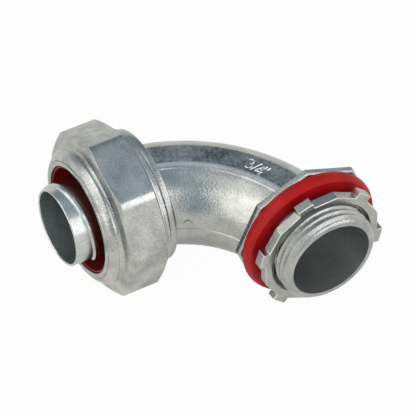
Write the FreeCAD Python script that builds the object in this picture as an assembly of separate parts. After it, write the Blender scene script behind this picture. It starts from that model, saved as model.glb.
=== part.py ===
import FreeCAD, Part
import math
import os

Vector = FreeCAD.Vector
os.makedirs("parts", exist_ok=True)

# All lengths are in mm. The hub axis is X, and the enclosure wall lies on the plane x = 0.
# A gland station is a distance from the hub axis along -Y, the way the gland end opens.

# hub
hub_d = 26.4
hub_length = 12.6
hub_lead_in = 1.1
hub_wall = 2.25
hub_bore_depth = 7.7

# gasket
gasket_width = 4.7
gasket_crown = 0.4
gasket_thickness = 3.4
gasket_edge = 0.7
gasket_clearance = 0.25

# flange behind the gasket, eight sided
flange_margin = 1.15
flange_thickness = 1.7
flange_bevel = 0.45

# locknut
locknut_stand_off = 2.15
locknut_thickness = 2.65
locknut_width = 3.35
locknut_lug_height = 1.1
locknut_lug_width = 4.4
locknut_lug_count = 6
locknut_lug_angle = 47.5
locknut_countersink = 0.9
locknut_chamfer = 0.3
thread_clearance = 0.2

# bent tube
gland_offset = 29.8
bend_radius = 37.0
bend_set_in = 1.3
tube_d = 26.2
tube_wall = 2.75
passage_blend_angle = 68.0

# flat on top of the bend for markings, with a raised rim on its inner side
panel_depth = 0.9
panel_edge_offset = 1.75
rim_width = 2.0
rim_height = 0.22

# collar and spigot of the gland end
collar_station = 29.6
collar_thickness = 2.1
collar_rise = 1.25
collar_round = 0.35
socket_d = 27.4
socket_depth = 9.0
spigot_wall = 2.6
spigot_length = 11.3
spigot_chamfer = 0.5
mouth_flare = 1.6
mouth_depth = 2.0

# gland nut, eight sided
nut_gap = 0.35
nut_turn = 3.0
nut_skirt_wall = 2.8
nut_skirt_length = 2.35
nut_skirt_step = 0.85
nut_rear_slope = 0.42
nut_crown_length = 4.4
nut_mouth_gap = 0.7
nut_lip_wall = 1.3
nut_lip_thickness = 1.7
nut_bead_width = 2.6
nut_shoulder_width = 1.65
nut_flat_rise = 0.7

# sealing ring inside the nut
ring_clearance = 0.15
ring_gap = 0.3
ring_seat_gap = 0.1
ring_bore_gap = 0.05
ring_length = 3.6
ring_nose = 0.9
ring_edge = 0.4

# ferrule that goes into the conduit
ferrule_reach = 5.67
ferrule_d = 20.5
ferrule_wall = 0.62
ferrule_flange_gap = 0.5
ferrule_flange_thickness = 0.8
ferrule_tail = 3.4
ferrule_clearance = 0.06
ferrule_seat_gap = 0.1
ridge_height = 0.65
ridge_root = 1.5
ridge_crest = 0.9
ridge_pitch = 7.7
ridge_from = -39.0
ridge_to = 200.0
ridge_end_gap = 0.25

# derived sizes
hub_bore_d = hub_d - 2 * hub_wall
gasket_bore_d = hub_d + 2 * gasket_clearance
gasket_d = gasket_bore_d + 2 * gasket_width
flange_corner_d = gasket_d + 2 * flange_margin
locknut_bore_d = hub_d + 2 * thread_clearance
locknut_corner_d = locknut_bore_d + 2 * locknut_width
locknut_lug_d = locknut_corner_d + 2 * locknut_lug_height
passage_d = tube_d - 2 * tube_wall
spigot_d = socket_d + 2 * spigot_wall
mouth_d = socket_d + 2 * mouth_flare
collar_d = spigot_d + 2 * collar_rise
nut_bore_r = spigot_d / 2 + thread_clearance
nut_skirt_d = 2 * (nut_bore_r + nut_skirt_wall)
nut_mouth_d = socket_d + 2 * nut_mouth_gap
nut_lip_d = nut_mouth_d + 2 * nut_lip_wall
nut_bead_d = nut_lip_d + 2 * nut_bead_width
nut_shoulder_d = nut_bead_d + 2 * nut_shoulder_width
nut_flats = nut_shoulder_d + 2 * nut_flat_rise
ring_bore_d = socket_d + 2 * ring_bore_gap
ferrule_bore_d = ferrule_d - 2 * ferrule_wall
ferrule_flange_d = socket_d - 2 * ferrule_flange_gap

# derived places
flange_x = -gasket_thickness
flange_back = flange_x - flange_thickness
hub_end = flange_x + hub_length
gland_x = flange_x - gland_offset
bend_x = gland_x + bend_radius
bend_y = -(bend_radius + bend_set_in)
bend_center = Vector(bend_x, bend_y, 0)
collar_front = collar_station + collar_thickness
spigot_end = collar_front + spigot_length
socket_floor = spigot_end - socket_depth
ring_rear = spigot_end + ring_gap
ring_front = ring_rear + ring_length
nut_rear = collar_front + nut_gap
nut_shoulder = nut_rear + nut_skirt_length
nut_seat = ring_front + ring_seat_gap
nut_front = nut_seat + nut_lip_thickness
nut_crown = nut_front - nut_crown_length
ferrule_end = nut_front + ferrule_reach


def rounded_wire(corners, place):
    """Closed wire through (u, v, rounding) corners, mapped to space by place(u, v)."""
    count = len(corners)
    stops = []
    for i in range(count):
        here = Vector(corners[i][0], corners[i][1], 0)
        back = Vector(corners[i - 1][0], corners[i - 1][1], 0) - here
        ahead = Vector(corners[(i + 1) % count][0], corners[(i + 1) % count][1], 0) - here
        rounding = corners[i][2] if len(corners[i]) > 2 else 0
        if rounding <= 0:
            stops.append((here, None, here))
            continue
        half = back.getAngle(ahead) / 2
        cut = min(rounding / math.tan(half), 0.45 * min(back.Length, ahead.Length))
        back.normalize()
        ahead.normalize()
        toward = back + ahead
        toward.normalize()
        middle = here + toward * (cut / math.cos(half) - cut * math.tan(half))
        stops.append((here + back * cut, middle, here + ahead * cut))
    edges = []
    for i in range(count):
        enter, middle, leave = stops[i]
        start = place(leave.x, leave.y)
        after = stops[(i + 1) % count][0]
        if middle is not None:
            arc = Part.Arc(place(enter.x, enter.y), place(middle.x, middle.y), start)
            edges.append(arc.toShape())
        edges.append(Part.makeLine(start, place(after.x, after.y)))
    return Part.Wire(edges)


def hub_turned(corners):
    """Solid of revolution about the hub axis from (x, radius, rounding) corners."""
    wire = rounded_wire(corners, lambda x, r: Vector(x, r, 0))
    return Part.Face(wire).revolve(Vector(0, 0, 0), Vector(1, 0, 0), 360)


def gland_turned(corners):
    """Solid of revolution about the gland axis from (station, radius, rounding) corners."""
    wire = rounded_wire(corners, lambda s, r: Vector(gland_x + r, -s, 0))
    return Part.Face(wire).revolve(Vector(gland_x, 0, 0), Vector(0, -1, 0), 360)


def hub_prism(sides, corner_r, first_angle, x_from, x_to):
    """Regular prism along the hub axis, its angles taken from +Y toward +Z."""
    points = []
    for i in range(sides + 1):
        angle = math.radians(first_angle + 360.0 * i / sides)
        points.append(Vector(x_from, corner_r * math.cos(angle), corner_r * math.sin(angle)))
    return Part.Face(Part.makePolygon(points)).extrude(Vector(x_to - x_from, 0, 0))


def gland_prism(sides, corner_r, first_angle, s_from, s_to):
    """Regular prism along the gland axis, its angles taken from +X toward +Z."""
    points = []
    for i in range(sides + 1):
        angle = math.radians(first_angle + 360.0 * i / sides)
        points.append(Vector(gland_x + corner_r * math.cos(angle), -s_from, corner_r * math.sin(angle)))
    return Part.Face(Part.makePolygon(points)).extrude(Vector(0, s_from - s_to, 0))


def bend_section(radius, angle):
    """Circle across the bend, at an angle from its gland end."""
    circle = Part.Wire(Part.makeCircle(radius, Vector(0, 0, 0), Vector(0, 1, 0)))
    circle.rotate(Vector(0, 0, 0), Vector(0, 0, 1), -angle)
    turn = math.radians(angle)
    circle.translate(bend_center + Vector(-math.cos(turn), math.sin(turn), 0) * bend_radius)
    return circle


def bend_swept(wire, angle):
    """Solid swept from a wire at the gland end round the bend."""
    return Part.Face(wire).revolve(bend_center, Vector(0, 0, -1), angle)


def make_bent_tube():
    """Outside of the bend between collar and flange, with the marking flat and its rim."""
    low = Vector(gland_x - bend_radius, -(collar_station + collar_thickness / 2), -bend_radius)
    high = Vector(flange_x - flange_thickness / 2, bend_radius, bend_radius)
    size = high - low
    room = Part.makeBox(size.x, size.y, size.z, low)
    tube = bend_swept(bend_section(tube_d / 2, 0), 90).common(room)
    edge_r = bend_radius - panel_edge_offset
    panel_z = tube_d / 2 - panel_depth
    base = bend_center + Vector(0, 0, panel_z)
    recess = Part.makeCylinder(bend_radius + tube_d, tube_d, base)
    recess = recess.cut(Part.makeCylinder(edge_r, tube_d, base))
    edge_z = math.sqrt((tube_d / 2) ** 2 - panel_edge_offset**2) + rim_height
    foot_offset = panel_edge_offset + rim_width
    foot_z = math.sqrt((tube_d / 2) ** 2 - foot_offset**2) + rim_height
    root_z = foot_z - 2
    rim = [
        (edge_r - rim_width, root_z),
        (edge_r, root_z),
        (edge_r, edge_z, rim_height),
        (edge_r - rim_width, foot_z, rim_height),
    ]
    wire = rounded_wire(rim, lambda r, z: Vector(bend_x - r, bend_y, z))
    return tube.cut(recess).fuse(bend_swept(wire, 90).common(room))


def make_flange():
    """Eight-sided flange, a corner up, with its front edge bevelled."""
    corner_r = flange_corner_d / 2
    flange = hub_prism(8, corner_r, 90, flange_back, flange_x)
    front = [e for e in flange.Edges if all(abs(v.X - flange_x) < 1e-6 for v in e.Vertexes)]
    return flange.makeChamfer(flange_bevel, front)


def make_passage():
    """Way for the wires: socket, bend, and a blend into the bore of the hub."""
    pilot_r = ferrule_d / 2 + ferrule_clearance
    pilot_start = socket_floor - ferrule_tail - 0.3
    gland_way = gland_turned([
        (pilot_start, 0),
        (pilot_start, pilot_r),
        (socket_floor, pilot_r),
        (socket_floor, socket_d / 2),
        (spigot_end - mouth_depth, socket_d / 2),
        (spigot_end, mouth_d / 2),
        (spigot_end + 1, mouth_d / 2),
        (spigot_end + 1, 0),
    ])
    bend_way = bend_swept(bend_section(passage_d / 2, 0), passage_blend_angle)
    bore_start = hub_end - hub_bore_depth
    mouth = bend_section(hub_bore_d / 2, 90)
    mouth.translate(Vector(bore_start, 0, 0) - bend_center - Vector(0, bend_radius, 0))
    blend = Part.makeLoft([bend_section(passage_d / 2, passage_blend_angle), mouth], True)
    bore = Part.makeCylinder(hub_bore_d / 2, hub_bore_depth + 1, Vector(bore_start, 0, 0), Vector(1, 0, 0))
    return [gland_way, bend_way, blend, bore]


def make_elbow_body():
    """One casting: hub, flange, bend, collar and spigot, with the passage through it."""
    hub = hub_turned([
        (flange_x - flange_thickness / 2, 0),
        (flange_x - flange_thickness / 2, hub_d / 2),
        (hub_end - hub_lead_in, hub_d / 2),
        (hub_end, hub_d / 2 - hub_lead_in),
        (hub_end, 0),
    ])
    gland_end = gland_turned([
        (collar_station, 0),
        (collar_station, collar_d / 2, collar_round),
        (collar_front, collar_d / 2, collar_round),
        (collar_front, spigot_d / 2),
        (spigot_end - spigot_chamfer, spigot_d / 2),
        (spigot_end, spigot_d / 2 - spigot_chamfer),
        (spigot_end, 0),
    ])
    body = make_bent_tube().fuse([make_flange(), hub, gland_end])
    for way in make_passage():
        body = body.cut(way)
    return body.removeSplitter()


def make_gland_nut():
    """Eight-sided nut with a stepped skirt, a beaded crown and a lip that holds the ring."""
    flat_r = nut_flats / 2
    corner_r = flat_r / math.cos(math.pi / 8)
    crest = corner_r + 1
    shoulder_r = nut_shoulder_d / 2
    bead_r = nut_bead_d / 2
    lip_r = nut_lip_d / 2
    trim = nut_crown + 0.8
    groove_s = nut_crown + 0.42 * nut_crown_length
    bead_s = nut_crown + 0.6 * nut_crown_length
    groove_r = bead_r + 0.35
    skirt_r = nut_skirt_d / 2
    turned = gland_turned([
        (nut_rear, nut_bore_r),
        (nut_rear, skirt_r - nut_skirt_step, 0.2),
        (nut_rear + nut_skirt_length / 2, skirt_r - nut_skirt_step),
        (nut_rear + nut_skirt_length / 2, skirt_r, 0.25),
        (nut_shoulder, skirt_r),
        (nut_shoulder, flat_r - 0.1),
        (nut_shoulder + nut_rear_slope * (crest - flat_r + 0.1), crest),
        (nut_crown - 0.2, crest),
        (trim, shoulder_r + 0.35, 0.3),
        (trim + 0.35, shoulder_r - 0.3, 0.3),
        (groove_s, groove_r, 0.5),
        (bead_s, bead_r + 0.25, 0.45),
        (nut_front - 0.45, lip_r + 0.5, 0.3),
        (nut_front - 0.35, lip_r),
        (nut_front, lip_r, 0.12),
        (nut_front, nut_mouth_d / 2, 0.15),
        (nut_seat, nut_mouth_d / 2, 0.15),
        (nut_seat, nut_bore_r),
    ])
    return turned.common(gland_prism(8, corner_r, 90 + nut_turn, nut_rear - 1, nut_front + 1))


def make_sealing_ring():
    """Ring that the nut squeezes on the conduit, its nose in the mouth of the spigot."""
    outer_r = nut_bore_r - ring_clearance
    bore_r = ring_bore_d / 2
    nose_r = bore_r + 0.4 * (mouth_d / 2 - bore_r)
    return gland_turned([
        (ring_rear - ring_nose, bore_r),
        (ring_rear - ring_nose, nose_r, 0.2),
        (ring_rear, nose_r),
        (ring_rear, outer_r, 0.3),
        (ring_front, outer_r, 0.3),
        (ring_front, bore_r, ring_edge),
    ])


def make_ferrule():
    """Tube that goes inside the conduit, with a seating flange and one coarse helical ridge."""
    outer_r = ferrule_d / 2
    bore_r = ferrule_bore_d / 2
    seat = socket_floor + ferrule_seat_gap
    flange_front = seat + ferrule_flange_thickness
    tube = gland_turned([
        (socket_floor - ferrule_tail, bore_r),
        (socket_floor - ferrule_tail, outer_r, 0.2),
        (seat, outer_r),
        (seat, ferrule_flange_d / 2, 0.25),
        (flange_front, ferrule_flange_d / 2, 0.25),
        (flange_front, outer_r, 0.25),
        (ferrule_end, outer_r, 0.27),
        (ferrule_end, bore_r, 0.27),
    ])
    turns = (ridge_to - ridge_from) / 360
    rise = ridge_pitch * turns
    path = Part.Wire(Part.makeHelix(ridge_pitch, rise, outer_r))
    sunk_r = outer_r - 0.25
    section = Part.makePolygon([
        Vector(sunk_r, 0, -ridge_root / 2),
        Vector(outer_r, 0, -ridge_root / 2),
        Vector(outer_r + ridge_height, 0, -ridge_crest / 2),
        Vector(outer_r + ridge_height, 0, ridge_crest / 2),
        Vector(outer_r, 0, ridge_root / 2),
        Vector(sunk_r, 0, ridge_root / 2),
        Vector(sunk_r, 0, -ridge_root / 2),
    ])
    ridge = path.makePipeShell([section], True, True)
    ridge.rotate(Vector(0, 0, 0), Vector(0, 0, 1), ridge_from)
    ridge.rotate(Vector(0, 0, 0), Vector(1, 0, 0), 90)
    ridge_start = ferrule_end - ridge_end_gap - ridge_root / 2 - rise
    ridge.translate(Vector(gland_x, -ridge_start, 0))
    return tube.fuse(Part.Solid(ridge))


def make_sealing_gasket():
    """Loose sealing ring between the flange and the enclosure wall, crowned outside."""
    wall_r = gasket_d / 2
    bore_r = gasket_bore_d / 2
    knee = -gasket_edge
    crown = Part.Arc(
        Vector(flange_x, wall_r, 0),
        Vector((flange_x + knee) / 2, wall_r + gasket_crown, 0),
        Vector(knee, wall_r, 0),
    )
    nose = Part.Arc(
        Vector(knee, wall_r, 0),
        Vector(knee * 0.25, wall_r - gasket_edge * 0.3, 0),
        Vector(0, wall_r - gasket_edge, 0),
    )
    lines = Part.makePolygon([
        Vector(0, wall_r - gasket_edge, 0),
        Vector(0, bore_r, 0),
        Vector(flange_x, bore_r, 0),
        Vector(flange_x, wall_r, 0),
    ])
    wire = Part.Wire([crown.toShape(), nose.toShape()] + lines.Edges)
    return Part.Face(wire).revolve(Vector(0, 0, 0), Vector(1, 0, 0), 360)


def make_locknut():
    """Twelve-sided ring with six lugs and a countersunk bore."""
    back = locknut_stand_off
    front = back + locknut_thickness
    bore_r = locknut_bore_d / 2
    lug_r = locknut_lug_d / 2
    blank = hub_prism(2 * locknut_lug_count, locknut_corner_d / 2, locknut_lug_angle, back, front)
    lugs = []
    for i in range(locknut_lug_count):
        lug = Part.makeBox(locknut_thickness, lug_r - bore_r, locknut_lug_width)
        lug.translate(Vector(back, bore_r, -locknut_lug_width / 2))
        top = [e for e in lug.Edges if all(abs(v.Y - lug_r) < 1e-6 for v in e.Vertexes)]
        lug = lug.makeChamfer(locknut_chamfer, top)
        lug.rotate(Vector(0, 0, 0), Vector(1, 0, 0), locknut_lug_angle + 360.0 * i / locknut_lug_count)
        lugs.append(lug)
    hole = hub_turned([
        (back - 1, 0),
        (back - 1, bore_r),
        (front - locknut_countersink, bore_r),
        (front, bore_r + locknut_countersink),
        (front + 1, bore_r + locknut_countersink),
        (front + 1, 0),
    ])
    return blank.fuse(lugs).cut(hole).removeSplitter()


pieces = {
    "elbow_body": make_elbow_body(),
    "gland_nut": make_gland_nut(),
    "sealing_ring": make_sealing_ring(),
    "ferrule": make_ferrule(),
    "sealing_gasket": make_sealing_gasket(),
    "locknut": make_locknut(),
}
for name, shape in pieces.items():
    shape.exportStep("parts/" + name + ".step")
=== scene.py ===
import math

import bpy
from mathutils import Matrix, Vector


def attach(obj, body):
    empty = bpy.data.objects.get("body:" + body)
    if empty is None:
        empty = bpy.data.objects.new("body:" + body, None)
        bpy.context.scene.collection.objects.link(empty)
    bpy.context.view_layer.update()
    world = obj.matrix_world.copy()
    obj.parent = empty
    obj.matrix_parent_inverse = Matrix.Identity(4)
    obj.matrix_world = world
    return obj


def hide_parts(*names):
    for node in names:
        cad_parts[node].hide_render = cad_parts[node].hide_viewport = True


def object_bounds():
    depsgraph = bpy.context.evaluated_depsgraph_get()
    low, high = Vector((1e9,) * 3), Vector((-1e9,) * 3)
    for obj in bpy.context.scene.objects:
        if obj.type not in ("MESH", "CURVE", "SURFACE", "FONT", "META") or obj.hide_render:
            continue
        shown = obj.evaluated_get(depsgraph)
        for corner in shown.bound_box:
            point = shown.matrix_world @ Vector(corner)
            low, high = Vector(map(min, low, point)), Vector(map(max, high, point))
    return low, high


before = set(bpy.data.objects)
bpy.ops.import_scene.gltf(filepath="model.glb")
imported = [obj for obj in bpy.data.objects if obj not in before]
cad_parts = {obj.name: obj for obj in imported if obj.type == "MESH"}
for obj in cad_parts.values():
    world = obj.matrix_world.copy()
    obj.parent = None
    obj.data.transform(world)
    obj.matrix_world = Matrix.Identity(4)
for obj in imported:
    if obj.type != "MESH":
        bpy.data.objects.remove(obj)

cad_low, cad_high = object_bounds()

# Sizes are in mm, as in the part's source. The hub axis is X and the wall lies on x = 0.
# A gland station is a distance from the hub axis along -Y.

# hub and its thread
hub_r = 13.2
hub_end = 9.2
hub_lead_in = 1.1
hub_bore_r = 10.95
hub_bore_start = 1.5
hub_thread_pitch = 1.814
hub_thread_depth = 1.05
hub_thread_start = -6.56
hub_thread_turns = 10
hub_foot = -4.1
hub_blank_foot = -4.8

# flange and gasket
flange_x = -3.4
flange_back = -5.1
flange_corner_r = 19.3
flange_bevel = 0.45
flange_edge_round = 0.12
gasket_r = 18.15
gasket_bore_r = 13.45
gasket_crown = 0.4
gasket_edge = 0.7

# locknut
locknut_back = 2.15
locknut_front = 4.8
locknut_corner_r = 16.75
locknut_bore_r = 13.4
locknut_lug_r = 17.85
locknut_lug_width = 4.4
locknut_lug_angle = 47.5
locknut_countersink = 0.9
locknut_edge_round = 0.45

# bent tube
gland_x = -33.2
bend_center = Vector((3.8, -38.3, 0))
bend_radius = 37.0
tube_r = 13.1
passage_r = 10.35
bend_end_x = -4.3
bend_end_station = 30.65
passage_blend_angle = 68.0
passage_reach = 12.35
passage_top = 11.2

# mould lines as angles round the tube, and their ridge as (angle, rise)
mould_lines = (90.0, 272.6)
mould_ridge = ((-1.1, 0.0), (-0.45, 0.18), (0.45, 0.18), (1.1, 0.0))
mould_line_clear = 1.5

# marking flat, with offsets outward from the middle of the tube
panel_z = 12.2
panel_edge = -1.75
panel_far = 4.5
panel_root = 0.14

# rim of the flat as (offset, rise over the tube), and its rounded edge as (offset, z)
rim_foot = -3.75
rim_top = ((-3.62, 0.13), (-3.4, 0.2), (-3.0, 0.22), (-2.5, 0.22), (-2.1, 0.22))
rim_edge = ((-1.98, 13.16), (-1.87, 13.12), (-1.79, 13.04), (panel_edge, 12.93))
# where the painted highlight on the rim's top begins, as an offset
rim_highlight_from = -3.1

# signs on the flat
numeral_height = 3.2
stroke_r = 0.3
stroke_rise = 0.2

# mark of the mould's pin, at an angle round the bend and an angle round the tube
knock_out_r = 1.1
knock_out_along = 30.5
knock_out_wall = -80.7
knock_out_depth = 1.0
knock_out_sunk = 0.22
knock_out_flat = 0.75
knock_out_edge_round = 0.08

# gland end
collar_rear = 29.6
collar_front = 31.7
collar_r = 17.55
spigot_r = 16.3
spigot_end = 43.0
spigot_thread_pitch = 1.5
spigot_thread_depth = 0.6
spigot_thread_start = 29.0
spigot_thread_turns = 11
spigot_foot = 30.9
spigot_blank_foot = 30.2
spigot_chamfer = 0.5
pilot_r = 10.31
pilot_start = 30.3
socket_r = 13.7
socket_floor = 34.0
mouth_r = 15.3
mouth_depth = 2.0

# gland nut
nut_rear = 32.05
nut_shoulder = 34.4
nut_crown = 44.9
nut_seat = 47.0
nut_front = 48.7
nut_half_flats = 20.65
nut_turn = 3.0
nut_bore_r = 16.5
nut_skirt_r = 19.3
nut_skirt_step = 0.85
nut_rear_slope = 0.42
nut_bead_r = 17.9
nut_lip_r = 15.7
nut_mouth_r = 14.4
nut_corner_round = 2.6
nut_edge_round = 0.16
nut_groove_width = 0.6
nut_groove_depth = 0.7

# sealing ring
ring_rear = 43.3
ring_front = 46.9
ring_bore_r = 13.75
ring_outer_r = 16.35
ring_nose = 0.9
ring_nose_r = 14.37
ring_lip_r = 14.3
ring_lip_front = 48.3

# ferrule
ferrule_rear = 30.6
ferrule_end = 54.37
ferrule_r = 10.25
ferrule_bore_r = 9.63
ferrule_flange_r = 13.2
ferrule_seat = 34.1
ferrule_flange_front = 34.9
ridge_height = 0.65
ridge_root = 1.5
ridge_crest = 0.9
ridge_pitch = 7.7
ridge_from = -39.0
ridge_to = 200.0
ridge_start = 48.26

# A primitive's Z axis laid along the hub axis or along the gland axis.
hub_stand = Matrix(((0, 0, 1), (0, 1, 0), (-1, 0, 0))).to_4x4()
gland_stand = Matrix(((0, 1, 0), (0, 0, -1), (-1, 0, 0))).to_4x4()


def clear_picks():
    """Leaves nothing selected, in object mode."""
    if bpy.context.mode != "OBJECT":
        bpy.ops.object.mode_set(mode="OBJECT")
    bpy.ops.object.select_all(action="DESELECT")


def pick_only(piece):
    """Leaves one piece selected and active, in object mode."""
    clear_picks()
    piece.select_set(True)
    bpy.context.view_layer.objects.active = piece


def pick_edges(piece, wanted):
    """Opens a piece in edit mode with the edges selected whose two ends pass a test."""
    pick_only(piece)
    bpy.ops.object.mode_set(mode="EDIT")
    bpy.ops.mesh.select_mode(type="EDGE")
    bpy.ops.mesh.select_all(action="DESELECT")
    bpy.ops.object.mode_set(mode="OBJECT")
    spots = piece.data.vertices
    for edge in piece.data.edges:
        edge.select = wanted(spots[edge.vertices[0]].co, spots[edge.vertices[1]].co)
    bpy.ops.object.mode_set(mode="EDIT")


def ease(corners):
    """Points through (u, v, rounding) corners, a rounded corner becoming an arc of short lines."""
    parts = 4
    count = len(corners)
    points = []
    for i in range(count):
        here = Vector(corners[i][:2])
        if len(corners[i]) < 3:
            points.append(here)
            continue
        back = Vector(corners[i - 1][:2]) - here
        ahead = Vector(corners[(i + 1) % count][:2]) - here
        half = back.angle(ahead) / 2
        cut = min(corners[i][2] / math.tan(half), 0.45 * min(back.length, ahead.length))
        back.normalize()
        ahead.normalize()
        middle = here + (back + ahead).normalized() * (cut / math.cos(half))
        start = here + back * cut - middle
        end = here + ahead * cut - middle
        radius = start.length
        points += [middle + start.slerp(end, k / parts) * radius for k in range(parts + 1)]
    return points


def draw_line(name, points):
    """Line drawn point by point from a plane merged to one vertex, left in edit mode."""
    clear_picks()
    bpy.ops.mesh.primitive_plane_add(size=1)
    piece = bpy.context.active_object
    piece.name = name
    bpy.ops.object.mode_set(mode="EDIT")
    bpy.ops.mesh.select_mode(type="VERT")
    bpy.ops.mesh.select_all(action="SELECT")
    bpy.ops.mesh.merge(type="CENTER")
    bpy.ops.transform.translate(value=points[0])
    for before, after in zip(points, points[1:]):
        bpy.ops.mesh.extrude_region_move(TRANSFORM_OT_translate={"value": after - before})
    bpy.ops.mesh.select_all(action="SELECT")
    return piece


def draw_outline(name, points):
    """Closed line drawn point by point, left in edit mode."""
    piece = draw_line(name, points + points[:1])
    bpy.ops.mesh.remove_doubles(threshold=1e-4)
    return piece


def close_up(piece):
    """Merges the seams of a piece in edit mode, drops loose lines and turns its faces outwards."""
    bpy.ops.mesh.select_all(action="SELECT")
    bpy.ops.mesh.remove_doubles(threshold=1e-4)
    bpy.ops.mesh.delete_loose()
    bpy.ops.mesh.select_all(action="SELECT")
    bpy.ops.mesh.normals_make_consistent(inside=False)
    bpy.ops.object.mode_set(mode="OBJECT")
    return piece


def turn_on_hub(name, corners, steps=160):
    """Piece turned about the hub axis from (x, radius, rounding) corners."""
    piece = draw_outline(name, [Vector((x, r, 0)) for x, r in ease(corners)])
    bpy.ops.mesh.spin(steps=steps, angle=2 * math.pi, center=(0, 0, 0), axis=(1, 0, 0))
    return close_up(piece)


def turn_on_gland(name, corners, steps=160):
    """Piece turned about the gland axis from (station, radius, rounding) corners."""
    piece = draw_outline(name, [Vector((gland_x + r, -s, 0)) for s, r in ease(corners)])
    bpy.ops.mesh.spin(steps=steps, angle=2 * math.pi, center=(gland_x, 0, 0), axis=(0, -1, 0))
    return close_up(piece)


def sweep_round_bend(name, section, angle, steps):
    """Open tube swept round the bend from (offset, z) points at its gland end, left in edit mode."""
    start = bend_center.x - bend_radius
    piece = draw_outline(name, [Vector((start - offset, bend_center.y, z)) for offset, z in section])
    bpy.ops.mesh.spin(steps=steps, angle=math.radians(angle), center=bend_center, axis=(0, 0, 1))
    bpy.ops.mesh.select_all(action="SELECT")
    bpy.ops.mesh.remove_doubles(threshold=1e-4)
    return piece


def place_primitive(name, place):
    """Names the primitive just added, moves it to its place and leaves that in its mesh."""
    piece = bpy.context.active_object
    piece.name = name
    piece.matrix_basis = place @ piece.matrix_basis
    bpy.ops.object.transform_apply(location=True, rotation=True, scale=True)
    return piece


def hub_prism(name, sides, corner_r, x_from, x_to, first_angle):
    """Prism along the hub axis, its first corner at an angle from +Y toward +Z."""
    clear_picks()
    bpy.ops.mesh.primitive_cylinder_add(vertices=sides, radius=corner_r, depth=x_to - x_from)
    middle = Matrix.Translation(((x_from + x_to) / 2, 0, 0))
    turn = Matrix.Rotation(math.radians(first_angle), 4, "X")
    return place_primitive(name, middle @ turn @ hub_stand)


def gland_prism(name, sides, corner_r, s_from, s_to, first_angle):
    """Prism along the gland axis, its first corner at an angle from +X toward +Z."""
    clear_picks()
    bpy.ops.mesh.primitive_cylinder_add(vertices=sides, radius=corner_r, depth=s_to - s_from)
    middle = Matrix.Translation((gland_x, -(s_from + s_to) / 2, 0))
    turn = Matrix.Rotation(-math.radians(first_angle), 4, "Y")
    return place_primitive(name, middle @ turn @ gland_stand)


def combine(piece, tool, way):
    """Joins a tool to a piece, cuts it away or keeps what both share, and removes the tool."""
    pick_only(piece)
    step = piece.modifiers.new("combine", "BOOLEAN")
    step.operation = way
    step.solver = "EXACT"
    step.object = tool
    bpy.ops.object.modifier_apply(modifier=step.name)
    bpy.data.objects.remove(tool)


def soften(piece, width, rounds, from_angle):
    """Rounds the edges of a piece that are sharper than an angle."""
    pick_only(piece)
    step = piece.modifiers.new("soften", "BEVEL")
    step.width = width
    step.segments = rounds
    step.limit_method = "ANGLE"
    step.angle_limit = math.radians(from_angle)
    bpy.ops.object.modifier_apply(modifier=step.name)


def wind(piece, axis, degrees, advance, turns, steps):
    """Winds a drawn line to a helix about an axis through its own origin, left in edit mode."""
    bpy.ops.object.mode_set(mode="OBJECT")
    step = piece.modifiers.new("wind", "SCREW")
    step.axis = axis
    step.angle = math.radians(degrees)
    step.screw_offset = advance
    step.iterations = turns
    step.steps = steps
    step.render_steps = steps
    bpy.ops.object.modifier_apply(modifier=step.name)
    bpy.ops.object.mode_set(mode="EDIT")
    bpy.ops.mesh.select_all(action="SELECT")
    bpy.ops.mesh.remove_doubles(threshold=1e-4)


def cut_ends(planes):
    """Cuts a piece in edit mode off at planes given as a point and the way that falls off."""
    for spot, way in planes:
        bpy.ops.mesh.select_all(action="SELECT")
        bpy.ops.mesh.bisect(plane_co=spot, plane_no=way, use_fill=True, clear_outer=True)


def thread_outline(crest_r, depth, pitch, start):
    """One pitch of a V thread as (station, radius), from the root of one groove to the next."""
    half = [(0, 1), (0.02, 0.99), (0.05, 0.94), (0.38, 0.14), (0.42, 0.04), (0.46, 0.01), (0.5, 0)]
    whole = half + [(1 - part, drop) for part, drop in reversed(half[:-1])]
    return [(start + part * pitch, crest_r - drop * depth) for part, drop in whole]


def bend_outline():
    """Cross-section of the bend as (offset, z): the tube, mould line, marking flat and its rim."""
    first = math.degrees(math.acos(panel_z / tube_r))
    last = 360 + math.degrees(math.asin(rim_foot / tube_r))
    spots = [(line + turn, rise) for line in mould_lines for turn, rise in mould_ridge]
    for k in range(109):
        angle = first + (last - first) * k / 108
        if all(abs(angle - line) > mould_line_clear for line in mould_lines):
            spots.append((angle, 0.0))
    spots.sort()
    points = []
    for angle, rise in spots:
        turn = math.radians(angle)
        points.append(((tube_r + rise) * math.sin(turn), (tube_r + rise) * math.cos(turn)))
    for offset, lift in rim_top:
        points.append((offset, math.sqrt(tube_r**2 - offset**2) + lift))
    points += rim_edge
    points += [(panel_edge, panel_z + panel_root), (panel_edge + panel_root, panel_z)]
    points += [(panel_edge + 0.3, panel_z), (panel_far, panel_z)]
    return points


def model_bend():
    """Outside of the bend, cut off inside the flange and inside the collar."""
    bend = sweep_round_bend("bend", bend_outline(), 90, 72)
    cut_ends([((bend_end_x, 0, 0), (1, 0, 0)), ((0, -bend_end_station, 0), (0, -1, 0))])
    return close_up(bend)


def model_flange():
    """Eight-sided flange, a corner up, its front edges bevelled."""
    flange = hub_prism("flange", 8, flange_corner_r, flange_back, flange_x, 90)
    pick_edges(flange, lambda a, b: min(a.x, b.x) > flange_x - 1e-3)
    bpy.ops.mesh.bevel(offset=flange_bevel, segments=1, affect="EDGES")
    close_up(flange)
    soften(flange, flange_edge_round, 2, 20)
    return flange


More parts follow.
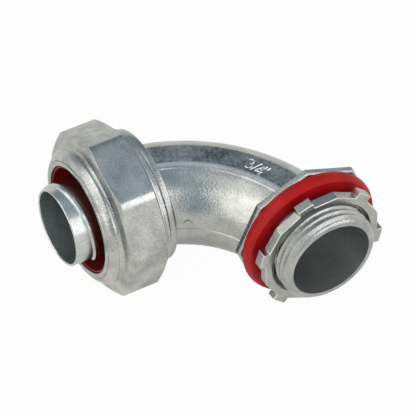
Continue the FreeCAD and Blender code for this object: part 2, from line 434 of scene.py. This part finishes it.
def model_hub():
    """Threaded hub: one pitch of the thread wound along it, then turned to a lead-in at its end."""
    section = thread_outline(hub_r, hub_thread_depth, hub_thread_pitch, hub_thread_start)
    hub = draw_line("hub", [Vector((x, r, 0)) for x, r in section])
    wind(hub, "X", 360, hub_thread_pitch, hub_thread_turns, 144)
    cut_ends([((hub_foot, 0, 0), (-1, 0, 0)), ((hub_end + 0.6, 0, 0), (1, 0, 0))])
    close_up(hub)
    lead_in = turn_on_hub("lead in", [
        (hub_blank_foot, 0),
        (hub_blank_foot, hub_r + 2),
        (hub_end - hub_lead_in - 2, hub_r + 2),
        (hub_end, hub_r - hub_lead_in, 0.25),
        (hub_end, 0),
    ], 144)
    combine(hub, lead_in, "INTERSECT")
    return hub


def model_collar():
    """Collar behind the nut, with a rounded crown."""
    middle = (collar_rear + collar_front) / 2
    return turn_on_gland("collar", [
        (collar_rear, 0),
        (collar_rear, collar_r - 0.12, 0.45),
        (middle, collar_r),
        (collar_front, collar_r - 0.12, 0.45),
        (collar_front, 0),
    ], 192)


def model_spigot():
    """Spigot that the nut screws on: one pitch of the thread wound along it, chamfered at its end."""
    section = thread_outline(spigot_r, spigot_thread_depth, spigot_thread_pitch, spigot_thread_start)
    spigot = draw_line("spigot", [Vector((r, -s, 0)) for s, r in section])
    wind(spigot, "Y", 360, -spigot_thread_pitch, spigot_thread_turns, 120)
    cut_ends([((0, -spigot_foot, 0), (0, 1, 0)), ((0, -spigot_end - 0.5, 0), (0, -1, 0))])
    close_up(spigot)
    spigot.location.x = gland_x
    pick_only(spigot)
    bpy.ops.object.transform_apply(location=True)
    chamfer = turn_on_gland("chamfer", [
        (spigot_blank_foot, 0),
        (spigot_blank_foot, spigot_r + 2),
        (spigot_end - spigot_chamfer - 2, spigot_r + 2),
        (spigot_end, spigot_r - spigot_chamfer, 0.1),
        (spigot_end, 0),
    ], 120)
    combine(spigot, chamfer, "INTERSECT")
    return spigot


def model_gland_way():
    """Space inside the gland end: pilot bore, socket and flared mouth."""
    return turn_on_gland("gland way", [
        (pilot_start, 0),
        (pilot_start, pilot_r),
        (socket_floor, pilot_r),
        (socket_floor, socket_r, 0.2),
        (spigot_end - mouth_depth, socket_r),
        (spigot_end, mouth_r),
        (spigot_end + 1, mouth_r),
        (spigot_end + 1, 0),
    ], 120)


def model_wire_way():
    """Space for the wires round the bend, blended into the bore of the hub."""
    ring = [2 * math.pi * k / 72 for k in range(72)]
    section = [(passage_r * math.sin(turn), passage_r * math.cos(turn)) for turn in ring]
    way = sweep_round_bend("wire way", section, passage_blend_angle, 48)
    clear_picks()
    depth = hub_end + 1.5 - hub_bore_start
    bpy.ops.mesh.primitive_cylinder_add(
        vertices=72, radius=hub_bore_r, depth=depth, end_fill_type="NOTHING",
    )
    bore = place_primitive("bore", Matrix.Translation((hub_bore_start + depth / 2, 0, 0)) @ hub_stand)
    pick_only(bore)
    way.select_set(True)
    bpy.context.view_layer.objects.active = way
    bpy.ops.object.join()
    end = math.radians(passage_blend_angle)
    toward = Vector((-math.cos(end), math.sin(end), 0))
    across = Vector((math.sin(end), math.cos(end), 0))

    def on_facing_ends(a, b):
        on_bore = max(abs(a.x - hub_bore_start), abs(b.x - hub_bore_start)) < 1e-3
        middle = bend_center + toward * bend_radius
        on_bend = max(abs((a - middle).dot(across)), abs((b - middle).dot(across))) < 1e-3
        return on_bore or on_bend

    pick_edges(way, on_facing_ends)
    bpy.ops.mesh.bridge_edge_loops()
    bpy.ops.mesh.select_all(action="SELECT")
    bpy.ops.mesh.fill_holes(sides=80)
    return close_up(way)


def model_knock_out():
    """Half-round mark that a pin of the mould left inside the bend, flat along the mould line."""
    turn = math.radians(knock_out_along)
    wall = math.radians(knock_out_wall)
    out = Vector((-math.cos(turn), math.sin(turn), 0))
    face = out * math.sin(wall) + Vector((0, 0, math.cos(wall)))
    spot = bend_center + out * bend_radius + face * tube_r
    stand = face.to_track_quat("Z", "Y").to_matrix().to_4x4()
    clear_picks()
    bpy.ops.mesh.primitive_cylinder_add(vertices=48, radius=knock_out_r, depth=knock_out_depth)
    mark = place_primitive("knock out", Matrix.Translation(spot - face * knock_out_sunk) @ stand)
    bpy.ops.object.mode_set(mode="EDIT")
    cut_ends([(spot - Vector((0, 0, knock_out_flat)), (0, 0, -1))])
    close_up(mark)
    soften(mark, knock_out_edge_round, 2, 40)
    return mark


def share_finishes(body):
    """Gives the casting's inside finish 1, the marking flat finish 2, and its rim and signs finish 3, a
    lighter painted highlight.
    """
    for face in body.data.polygons:
        spot = face.center
        offset = (Vector((spot.x, spot.y, 0)) - bend_center).length - bend_radius
        from_hub = math.hypot(spot.y, spot.z)
        from_gland = math.hypot(spot.x - gland_x, spot.z)
        from_tube = math.hypot(offset, spot.z)
        before_collar = spot.y > -collar_rear
        on_tube = before_collar and spot.x < flange_back
        in_hub = spot.x > hub_bore_start - 0.1 and from_hub < hub_bore_r + 0.05
        in_passage = from_tube < passage_reach and spot.z < passage_top
        in_bend = before_collar and spot.x <= hub_bore_start and in_passage
        in_gland = spot.y < -collar_rear and from_gland < socket_r + 0.1
        on_flat = on_tube and face.normal.z > 0.99 and abs(spot.z - panel_z) < 0.02
        over_flat = panel_z + 0.02 < spot.z < panel_z + stroke_rise + 0.1
        on_sign = on_tube and over_flat and panel_edge + 0.05 < offset < panel_far
        on_rim = on_tube and rim_highlight_from < offset < panel_edge - 0.01 and spot.z > panel_z + 0.2
        # the rim's top and the raised signs take the lighter finish, a painted highlight
        if on_rim or on_sign:
            face.material_index = 3
        elif on_flat:
            face.material_index = 2
        elif in_hub or in_bend or in_gland:
            face.material_index = 1


def model_stroke(points, along, offset):
    """Raised bead of one stroke of a sign, from (across, up) points in half heights of a numeral."""
    half = numeral_height / 2
    turn = math.radians(along)
    out = Vector((-math.cos(turn), math.sin(turn), 0))
    ahead = Vector((math.sin(turn), math.cos(turn), 0))
    lift = Vector((0, 0, panel_z + stroke_rise - stroke_r))
    spot = bend_center + out * (bend_radius + offset) + lift
    stroke = draw_line("stroke", [spot + ahead * (u * half) + out * (v * half) for u, v in points])
    bpy.ops.object.mode_set(mode="OBJECT")
    bpy.ops.object.convert(target="CURVE")
    stroke.data.bevel_depth = stroke_r
    stroke.data.bevel_resolution = 3
    stroke.data.use_fill_caps = True
    bpy.ops.object.convert(target="MESH")
    bpy.ops.object.mode_set(mode="EDIT")
    return close_up(stroke)


def bowl(middle, radius, first, last):
    """Points round a bowl of a numeral, from one angle to another."""
    turns = [math.radians(first + (last - first) * k / 14) for k in range(15)]
    return [(radius * math.cos(turn), middle + radius * math.sin(turn)) for turn in turns]


def model_size_mark():
    """The trade size in raised strokes, three quarters of an inch, set slantwise."""
    three = [bowl(0.47, 0.47, 150, -80), bowl(-0.47, 0.53, 80, -150)]
    slash = [[(-0.6, -1), (0.6, 1)]]
    four = [[(0.25, 1), (-0.65, -0.3)], [(-0.65, -0.3), (0.65, -0.3)], [(0.25, 1), (0.25, -1)]]
    inch = [[(-0.15, 1), (-0.35, 0.35)], [(0.4, 1), (0.2, 0.35)]]
    signs = ((three, 53.4, 1.9), (slash, 56.1, 1.45), (four, 58.2, 0.8), (inch, 60.2, 1.2))
    return [model_stroke(line, along, offset) for lines, along, offset in signs for line in lines]


def model_body():
    """The casting: bend, flange, threaded hub, collar and threaded spigot, hollow."""
    body = model_bend()
    body.name = "elbow_casting"
    parts = [model_flange(), model_hub(), model_collar(), model_spigot(), model_knock_out()]
    for part in parts + model_size_mark():
        combine(body, part, "UNION")
    for space in (model_gland_way(), model_wire_way()):
        combine(body, space, "DIFFERENCE")
    bpy.ops.object.mode_set(mode="EDIT")
    return close_up(body)


def model_nut():
    """Eight-sided nut: turned profile kept inside an octagon with rounded corners."""
    corner_r = nut_half_flats / math.cos(math.pi / 8)
    step_s = (nut_rear + nut_shoulder) / 2
    crest = corner_r + 1
    slope = nut_rear_slope * (crest - nut_half_flats + 0.1)
    nut = turn_on_gland("compression_nut", [
        (nut_rear, nut_bore_r, 0.3),
        (nut_rear, nut_skirt_r - nut_skirt_step, 0.2),
        (step_s, nut_skirt_r - nut_skirt_step - 0.15, 0.05),
        (step_s, nut_skirt_r, 0.2),
        (nut_shoulder - nut_groove_width, nut_skirt_r, 0.12),
        (nut_shoulder - nut_groove_width + 0.15, nut_skirt_r - nut_groove_depth, 0.05),
        (nut_shoulder, nut_skirt_r - nut_groove_depth, 0.05),
        (nut_shoulder, nut_half_flats - 0.1),
        (nut_shoulder + slope, crest),
        (nut_crown - slope, crest),
        (nut_crown, nut_half_flats - 0.1, 0.15),
        (nut_crown + 0.12, nut_bead_r + 1.7),
        (nut_crown + 0.22, nut_bead_r + 1.0),
        (nut_crown + 0.36, nut_bead_r + 0.5),
        (nut_crown + 0.6, nut_bead_r + 0.1),
        (nut_crown + 0.9, nut_bead_r - 0.08),
        (nut_crown + 1.5, nut_bead_r - 0.15, 0.08),
        (nut_crown + 1.6, nut_bead_r + 0.15, 0.1),
        (nut_crown + 2.0, nut_bead_r - 0.1),
        (nut_crown + 2.55, nut_bead_r - 0.48),
        (nut_crown + 3.05, nut_bead_r - 0.95),
        (nut_crown + 3.45, nut_bead_r - 1.55),
        (nut_front - 0.25, nut_lip_r + 0.2, 0.1),
        (nut_front - 0.5, nut_lip_r - 0.05, 0.06),
        (nut_front, nut_lip_r - 0.1, 0.15),
        (nut_front, nut_mouth_r, 0.2),
        (nut_seat, nut_mouth_r, 0.2),
        (nut_seat, nut_bore_r, 0.2),
    ], 192)
    blank = gland_prism("blank", 8, corner_r, nut_rear - 1, nut_front + 1, 90 + nut_turn)
    pick_edges(blank, lambda a, b: abs(a.y - b.y) > 1)
    bpy.ops.mesh.bevel(offset=nut_corner_round, segments=16, profile=0.7, affect="EDGES")
    close_up(blank)
    combine(nut, blank, "INTERSECT")
    soften(nut, nut_edge_round, 2, 28)
    return nut


def model_ring():
    """Sealing ring inside the nut, its nose in the mouth of the spigot and a lip in the nut's mouth."""
    return turn_on_gland("nylon_sealing_ring", [
        (ring_rear - ring_nose, ring_bore_r, 0.15),
        (ring_rear - ring_nose, ring_nose_r, 0.2),
        (ring_rear, ring_nose_r, 0.1),
        (ring_rear, ring_outer_r, 0.3),
        (ring_front, ring_outer_r, 0.3),
        (ring_front, ring_lip_r, 0.1),
        (ring_lip_front, ring_lip_r, 0.15),
        (ring_lip_front, ring_bore_r, 0.25),
    ])


def model_ferrule():
    """Thin steel tube with a seating flange and one coarse helical ridge, as a hose barb has."""
    ferrule = turn_on_gland("steel_ferrule", [
        (ferrule_rear, ferrule_bore_r, 0.2),
        (ferrule_rear, ferrule_r, 0.2),
        (ferrule_seat, ferrule_r, 0.15),
        (ferrule_seat, ferrule_flange_r, 0.25),
        (ferrule_flange_front, ferrule_flange_r, 0.25),
        (ferrule_flange_front, ferrule_r, 0.25),
        (ferrule_end, ferrule_r, 0.27),
        (ferrule_end, ferrule_bore_r, 0.27),
    ])
    section = ease([
        (-ridge_root / 2, ferrule_r - 0.3),
        (-ridge_root / 2 - 0.1, ferrule_r),
        (-ridge_crest / 2, ferrule_r + ridge_height, 0.2),
        (ridge_crest / 2, ferrule_r + ridge_height, 0.2),
        (ridge_root / 2 + 0.1, ferrule_r),
        (ridge_root / 2, ferrule_r - 0.3),
    ])
    ridge = draw_outline("ridge", [Vector((r, -s, 0)) for s, r in section])
    sweep = ridge_to - ridge_from
    wind(ridge, "Y", -sweep, -ridge_pitch * sweep / 360, 1, 96)
    bpy.ops.mesh.fill_holes(sides=20)
    close_up(ridge)
    turn = Matrix.Rotation(-math.radians(ridge_from), 4, "Y")
    pick_only(ridge)
    ridge.matrix_basis = Matrix.Translation((gland_x, -ridge_start, 0)) @ turn
    bpy.ops.object.transform_apply(location=True, rotation=True)
    combine(ferrule, ridge, "UNION")
    return ferrule


def share_ferrule_finishes(ferrule):
    """Gives the inside of the ferrule its own finish."""
    for face in ferrule.data.polygons:
        inside = math.hypot(face.center.x - gland_x, face.center.z) < ferrule_bore_r + 0.02
        face.material_index = 1 if inside else 0


def model_gasket():
    """Sealing gasket, crowned outside and eased at its front edge."""
    depth = -flange_x - gasket_edge
    crown = []
    for k in range(7):
        part = k / 6
        crown.append((flange_x + depth * part, gasket_r + gasket_crown * 4 * part * (1 - part)))
    return turn_on_hub("nylon_gasket", crown + [
        (-0.02, gasket_r - 0.35, 0.35),
        (0, gasket_r - gasket_edge, 0.3),
        (0, gasket_bore_r, 0.2),
        (flange_x, gasket_bore_r, 0.2),
    ])


def model_locknut():
    """Twelve-sided ring with six lugs and a countersunk bore."""
    half = locknut_lug_width / 2
    flat = Vector((locknut_corner_r * math.cos(math.pi / 6), locknut_corner_r / 2))
    root = locknut_corner_r - (locknut_corner_r - flat.x) * half / flat.y
    outline = []
    for k in range(6):
        turn = Matrix.Rotation(math.radians(locknut_lug_angle + 60 * k), 4, "X")
        lug = ((root, -half), (locknut_lug_r, -half), (locknut_lug_r, half), (root, half))
        for out, along in lug + (flat,):
            outline.append(turn @ Vector((locknut_back, out, along)))
    locknut = draw_outline("lugged_locknut", outline)
    bpy.ops.mesh.edge_face_add()
    thick = locknut_front - locknut_back
    bpy.ops.mesh.extrude_region_move(TRANSFORM_OT_translate={"value": (thick, 0, 0)})
    close_up(locknut)
    hole = turn_on_hub("hole", [
        (locknut_back - 1, 0),
        (locknut_back - 1, locknut_bore_r),
        (locknut_front - locknut_countersink, locknut_bore_r),
        (locknut_front, locknut_bore_r + locknut_countersink),
        (locknut_front + 1, locknut_bore_r + locknut_countersink),
        (locknut_front + 1, 0),
    ])
    combine(locknut, hole, "DIFFERENCE")
    soften(locknut, locknut_edge_round, 4, 25)
    return locknut


def share_locknut_finishes(locknut):
    """Gives the rounded outer edges of the locknut a lighter finish: rubbed wear with a painted
    highlight.
    """
    countersink_r = locknut_bore_r + locknut_countersink
    for face in locknut.data.polygons:
        # the slanted outer faces take the lighter finish, wear with a painted highlight
        slanted = 0.25 < abs(face.normal.x) < 0.97
        outside = math.hypot(face.center.y, face.center.z) > countersink_r + 0.3
        face.material_index = 1 if slanted and outside else 0


def ink(code):
    """Linear colour from an sRGB hex code."""
    parts = [int(code[k:k + 2], 16) / 255 for k in (1, 3, 5)]
    return [p / 12.92 if p <= 0.04045 else ((p + 0.055) / 1.055) ** 2.4 for p in parts] + [1.0]


def add(tree, kind, sockets=None, stops=None, **settings):
    """Adds a node with its settings, its ramp stops, and its sockets set or linked."""
    node = tree.nodes.new(kind)
    for name, value in settings.items():
        setattr(node, name, value)
    if stops:
        while len(node.color_ramp.elements) < len(stops):
            node.color_ramp.elements.new(0.5)
        for element, (spot, tint) in zip(node.color_ramp.elements, stops):
            element.position = spot
            element.color = tint
    for name, value in (sockets or {}).items():
        if isinstance(value, bpy.types.NodeSocket):
            tree.links.new(value, node.inputs[name])
        else:
            node.inputs[name].default_value = value
    return node


def start_material(name):
    """New material with an empty tree but for its output and shader, and its Object coordinates."""
    material = bpy.data.materials.new(name)
    material.use_nodes = True
    tree = material.node_tree
    tree.nodes.clear()
    shader = tree.nodes.new("ShaderNodeBsdfPrincipled")
    output = tree.nodes.new("ShaderNodeOutputMaterial")
    tree.links.new(shader.outputs["BSDF"], output.inputs["Surface"])
    spots = tree.nodes.new("ShaderNodeTexCoord").outputs["Object"]
    return material, tree, shader, spots


def per_mm(size):
    """Noise scale, in periods a metre, that gives marks of a size in mm."""
    return 1000.0 / size


def die_cast_zinc(name, light, dark, smooth, rough, grain_size, grain_depth):
    """Die-cast zinc: a cool grey metal skin with cloudy patches from the mould and a fine grain."""
    material, tree, shader, spots = start_material(name)
    # patches where the metal chilled on the mould, about 7 mm across
    cloud = add(tree, "ShaderNodeTexNoise", {
        "Vector": spots, "Scale": per_mm(7), "Detail": 3.0, "Roughness": 0.6,
    })
    # grain of the skin, really about 0.2 mm, drawn coarser so that it shows
    grain = add(tree, "ShaderNodeTexNoise", {
        "Vector": spots, "Scale": per_mm(grain_size), "Detail": 2.0, "Roughness": 0.6,
    })
    both = add(tree, "ShaderNodeMix", {
        "Factor": 0.4, "A": cloud.outputs["Fac"], "B": grain.outputs["Fac"],
    }).outputs["Result"]
    tint = add(tree, "ShaderNodeValToRGB", {"Fac": both}, [(0.35, ink(dark)), (0.65, ink(light))])
    dull = add(tree, "ShaderNodeMapRange", {
        "Value": both, "From Min": 0.35, "From Max": 0.65, "To Min": rough, "To Max": smooth,
    })
    swell = add(tree, "ShaderNodeBump", {
        "Height": cloud.outputs["Fac"], "Strength": 0.5, "Distance": 0.00006,
    }).outputs["Normal"]
    skin = add(tree, "ShaderNodeBump", {
        "Height": grain.outputs["Fac"],
        "Strength": 0.6,
        "Distance": grain_depth / 1000,
        "Normal": swell,
    })
    tree.links.new(tint.outputs["Color"], shader.inputs["Base Color"])
    tree.links.new(dull.outputs["Result"], shader.inputs["Roughness"])
    tree.links.new(skin.outputs["Normal"], shader.inputs["Normal"])
    shader.inputs["Metallic"].default_value = 1.0
    return material


def plated_steel(name, light, dark, smooth, rough):
    """Zinc-plated rolled steel: brighter and smoother than a casting, clouded by the plating."""
    material, tree, shader, spots = start_material(name)
    # clouds of the plating, about 3 mm across
    cloud = add(tree, "ShaderNodeTexNoise", {"Vector": spots, "Scale": per_mm(3), "Detail": 3.0})
    # crystals of the zinc, really about 0.1 mm, drawn at 0.45 mm so that they show
    grain = add(tree, "ShaderNodeTexNoise", {"Vector": spots, "Scale": per_mm(0.45), "Detail": 2.0})
    both = add(tree, "ShaderNodeMix", {
        "Factor": 0.55, "A": cloud.outputs["Fac"], "B": grain.outputs["Fac"],
    }).outputs["Result"]
    tint = add(tree, "ShaderNodeValToRGB", {"Fac": both}, [(0.38, ink(dark)), (0.62, ink(light))])
    dull = add(tree, "ShaderNodeMapRange", {
        "Value": both, "From Min": 0.35, "From Max": 0.65, "To Min": rough, "To Max": smooth,
    })
    skin = add(tree, "ShaderNodeBump", {
        "Height": grain.outputs["Fac"], "Strength": 0.5, "Distance": 0.000006,
    })
    tree.links.new(tint.outputs["Color"], shader.inputs["Base Color"])
    tree.links.new(dull.outputs["Result"], shader.inputs["Roughness"])
    tree.links.new(skin.outputs["Normal"], shader.inputs["Normal"])
    shader.inputs["Metallic"].default_value = 1.0
    return material


def moulded_nylon(name, light, dark):
    """Red moulded nylon: even deep colour, a soft waxy gloss, faint flow clouds, a fine grain."""
    material, tree, shader, spots = start_material(name)
    # flow clouds of the moulding, about 4 mm across
    cloud = add(tree, "ShaderNodeTexNoise", {"Vector": spots, "Scale": per_mm(4), "Detail": 2.0})
    # eroded mould grain, really about 0.1 mm, drawn at 0.5 mm so that it shows
    grain = add(tree, "ShaderNodeTexNoise", {"Vector": spots, "Scale": per_mm(0.5), "Detail": 1.0})
    tint = add(tree, "ShaderNodeValToRGB", {
        "Fac": cloud.outputs["Fac"],
    }, [(0.35, ink(dark)), (0.65, ink(light))])
    dull = add(tree, "ShaderNodeMapRange", {
        "Value": grain.outputs["Fac"], "From Min": 0.35, "From Max": 0.65, "To Min": 0.4, "To Max": 0.5,
    })
    skin = add(tree, "ShaderNodeBump", {
        "Height": grain.outputs["Fac"], "Strength": 0.3, "Distance": 0.00001,
    })
    tree.links.new(tint.outputs["Color"], shader.inputs["Base Color"])
    tree.links.new(dull.outputs["Result"], shader.inputs["Roughness"])
    tree.links.new(skin.outputs["Normal"], shader.inputs["Normal"])
    shader.inputs["IOR"].default_value = 1.53
    shader.inputs["Specular IOR Level"].default_value = 0.22
    return material


def settle(piece, body, slot, *finishes):
    """Brings a piece to metres, shades it, and hands it to the frame with its finish."""
    pick_only(piece)
    piece.scale = (0.001, 0.001, 0.001)
    bpy.ops.object.transform_apply(scale=True)
    bpy.ops.object.shade_smooth_by_angle(angle=math.radians(32))
    step = piece.modifiers.new("even shading", "WEIGHTED_NORMAL")
    step.keep_sharp = True
    bpy.ops.object.modifier_apply(modifier=step.name)
    for finish in finishes:
        piece.data.materials.append(finish)
    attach(piece, body)
    return piece


def aim(around, up):
    """Direction at an angle round from +X toward +Y and an angle above the floor."""
    around = math.radians(around)
    up = math.radians(up)
    return Vector((math.cos(up) * math.cos(around), math.cos(up) * math.sin(around), math.sin(up)))


def set_room():
    """Soft studio: walls dim at the back, two large soft lamps and a white floor that sweeps up."""
    bright_side = aim(-115, 60)
    world = bpy.data.worlds.new("studio")
    bpy.context.scene.world = world
    world.use_nodes = True
    tree = world.node_tree
    tree.nodes.clear()
    way = add(tree, "ShaderNodeTexCoord").outputs["Generated"]
    height = add(tree, "ShaderNodeSeparateXYZ", {"Vector": way}).outputs["Z"]
    # walls round from the back left, lit in front and on the right, unlit behind
    turn = add(tree, "ShaderNodeTexGradient", {"Vector": way}, gradient_type="RADIAL")
    walls = add(tree, "ShaderNodeValToRGB", {"Fac": turn.outputs["Fac"]}, [
        (0.0, (0.30, 0.35, 0.38, 1)),
        (0.083, (0.36, 0.40, 0.43, 1)),
        (0.14, (0.80, 0.80, 0.79, 1)),
        (0.333, (0.90, 0.90, 0.88, 1)),
        (0.667, (0.85, 0.85, 0.83, 1)),
        (0.778, (0.50, 0.55, 0.58, 1)),
        (0.861, (0.24, 0.29, 0.32, 1)),
        (1.0, (0.30, 0.35, 0.38, 1)),
    ])
    # the pale floor sweeps up to the walls
    rise = add(tree, "ShaderNodeMapRange", {"Value": height, "From Min": 0.05, "From Max": 0.3})
    tint = add(tree, "ShaderNodeMix", {
        "Factor": rise.outputs["Result"], "A": (0.90, 0.89, 0.85, 1), "B": walls.outputs["Color"],
    }, data_type="RGBA")
    # a cool ceiling
    rise = add(tree, "ShaderNodeMapRange", {"Value": height, "From Min": 0.72, "From Max": 0.93})
    tint = add(tree, "ShaderNodeMix", {
        "Factor": rise.outputs["Result"], "A": tint.outputs["Result"], "B": (0.42, 0.50, 0.56, 1),
    }, data_type="RGBA")
    # a broad glow over the front lamp
    nearness = add(tree, "ShaderNodeVectorMath", {0: way, 1: bright_side}, operation="DOT_PRODUCT")
    glow = add(tree, "ShaderNodeMapRange", {
        "Value": nearness.outputs["Value"], "From Min": 0.85, "From Max": 0.97,
    })
    tint = add(tree, "ShaderNodeMix", {
        "Factor": glow.outputs["Result"], "A": tint.outputs["Result"], "B": (1.15, 1.15, 1.1, 1),
    }, data_type="RGBA")
    # the camera on its dark stand, a tall strip between the two lamps
    strip = add(tree, "ShaderNodeValToRGB", {"Fac": turn.outputs["Fac"]}, [
        (0.342, (0, 0, 0, 1)),
        (0.375, (1, 1, 1, 1)),
        (0.415, (1, 1, 1, 1)),
        (0.44, (0, 0, 0, 1)),
    ])
    tint = add(tree, "ShaderNodeMix", {
        "Factor": strip.outputs["Color"], "A": tint.outputs["Result"], "B": (0.34, 0.42, 0.47, 1),
    }, data_type="RGBA")
    light = add(tree, "ShaderNodeBackground", {"Color": tint.outputs["Result"], "Strength": 1.0})
    add(tree, "ShaderNodeOutputWorld", {"Surface": light.outputs["Background"]})

    clear_picks()
    bpy.ops.mesh.primitive_plane_add(size=6.0, location=(0, 0, cad_low.z))
    floor = bpy.context.active_object
    floor.name = "floor"
    material = bpy.data.materials.new("white painted floor")
    material.use_nodes = True
    tree = material.node_tree
    tree.nodes.clear()
    paint = add(tree, "ShaderNodeBsdfDiffuse", {"Color": ink("#F0ECE2")})
    plain = add(tree, "ShaderNodeEmission", {"Color": (1.0, 1.0, 1.0, 1.0), "Strength": 1.0})
    # seen plainly by the camera, and a third as much in the metal, which keeps the object's shadow
    rays = add(tree, "ShaderNodeLightPath")
    mirrored = add(tree, "ShaderNodeMath", {
        0: rays.outputs["Is Glossy Ray"], 1: rays.outputs["Is Transmission Ray"],
    }, operation="ADD")
    mirrored = add(tree, "ShaderNodeMath", {
        0: mirrored.outputs["Value"], 1: 0.32,
    }, operation="MULTIPLY")
    share = add(tree, "ShaderNodeMath", {
        0: rays.outputs["Is Camera Ray"], 1: 0.96, 2: mirrored.outputs["Value"],
    }, operation="MULTIPLY_ADD")
    both = add(tree, "ShaderNodeMixShader", {
        0: share.outputs["Value"], 1: paint.outputs["BSDF"], 2: plain.outputs["Emission"],
    })
    add(tree, "ShaderNodeOutputMaterial", {"Surface": both.outputs["Shader"]})
    floor.data.materials.append(material)

    middle = (cad_low + cad_high) / 2
    lamp_distance = 0.9
    for name, toward, across, tall, power, warmth in (
        ("front lamp", aim(-92, 30), 1.1, 1.0, 2.5, (1.0, 0.95, 0.87)),
        ("right lamp", aim(27, 33), 1.15, 0.7, 2.3, (1.0, 0.98, 0.95)),
    ):
        clear_picks()
        bpy.ops.object.light_add(type="AREA", location=middle + toward * lamp_distance)
        lamp = bpy.context.active_object
        lamp.name = name
        lamp.data.shape = "RECTANGLE"
        lamp.data.size = across
        lamp.data.size_y = tall
        lamp.data.energy = power
        lamp.data.color = warmth
        lamp.rotation_euler = toward.to_track_quat("Z", "Y").to_euler()


def set_camera():
    """Camera at the photograph's angle: 59 degrees round, 46 degrees up, from 0.9 m."""
    clear_picks()
    round_turn = Matrix.Rotation(math.radians(59.09), 3, "Z")
    tilt = Matrix.Rotation(math.radians(90 - 46.437), 3, "X")
    roll = Matrix.Rotation(math.radians(1.483), 3, "Z")
    turn = round_turn @ tilt @ roll
    right, up, back = turn.col[0], turn.col[1], turn.col[2]
    place = Vector((hub_end, 0, 0)) - 30.59 * right + 12.91 * up + 893.3 * back
    bpy.ops.object.camera_add(location=place / 1000, rotation=turn.to_euler())
    camera = bpy.context.active_object
    camera.data.sensor_width = 36.0
    camera.data.lens = 311.54
    camera.data.clip_start = 0.05
    bpy.context.scene.camera = camera


body_zinc = die_cast_zinc("die-cast zinc body", "#C8C9C6", "#9C9FA1", 0.14, 0.23, 0.5, 0.11)
flat_zinc = die_cast_zinc("die-cast zinc marking flat", "#D8DADA", "#5E6264", 0.2, 0.35, 1.0, 0.2)
bore_zinc = die_cast_zinc("die-cast zinc bore", "#E2E4E4", "#C0C4C6", 0.3, 0.42, 0.7, 0.05)
# a lighter zinc: a painted highlight on the flat's rim and signs, and wear with a painted highlight on
# the locknut's edges
wear_and_highlight_zinc = die_cast_zinc("die-cast zinc worn, painted highlight", "#F0F0EE", "#D0D1D0", 0.14, 0.22, 0.5, 0.08)
nut_zinc = die_cast_zinc("die-cast zinc nut", "#D3D4D2", "#94989A", 0.14, 0.22, 0.45, 0.085)
locknut_zinc = die_cast_zinc("die-cast zinc locknut", "#C4C4C1", "#A0A2A2", 0.17, 0.27, 0.45, 0.07)
steel = plated_steel("zinc-plated rolled steel", "#D8DAD8", "#B4B9BC", 0.16, 0.26)
inner_steel = plated_steel("zinc-plated steel inside", "#E0E4E6", "#A8B0B4", 0.3, 0.42)
# the ring's red is darker than the gasket's: painted shade for its place deep inside the nut
ring_nylon_painted_shade = moulded_nylon("red moulded nylon ring, darkened as painted shade", "#84120E", "#6C0D0A")
gasket_nylon = moulded_nylon("red moulded nylon gasket", "#B20C14", "#A0080E")

casting = model_body()
share_finishes(casting)
settle(casting, "body", "cast_zinc", body_zinc, bore_zinc, flat_zinc, wear_and_highlight_zinc)
nut = settle(model_nut(), "nut", "nut_zinc", nut_zinc)
ring = settle(model_ring(), "ring", "red_ring", ring_nylon_painted_shade)
ferrule = model_ferrule()
share_ferrule_finishes(ferrule)
settle(ferrule, "ferrule", "plated_steel", steel, inner_steel)
gasket = settle(model_gasket(), "gasket", "red_gasket", gasket_nylon)
locknut = model_locknut()
share_locknut_finishes(locknut)
settle(locknut, "locknut", "locknut_zinc", locknut_zinc, wear_and_highlight_zinc)
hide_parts("elbow_body")
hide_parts("gland_nut")
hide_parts("sealing_ring")
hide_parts("ferrule")
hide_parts("sealing_gasket")
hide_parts("locknut")

set_room()
set_camera()
bpy.context.scene.view_settings.view_transform = "Standard"
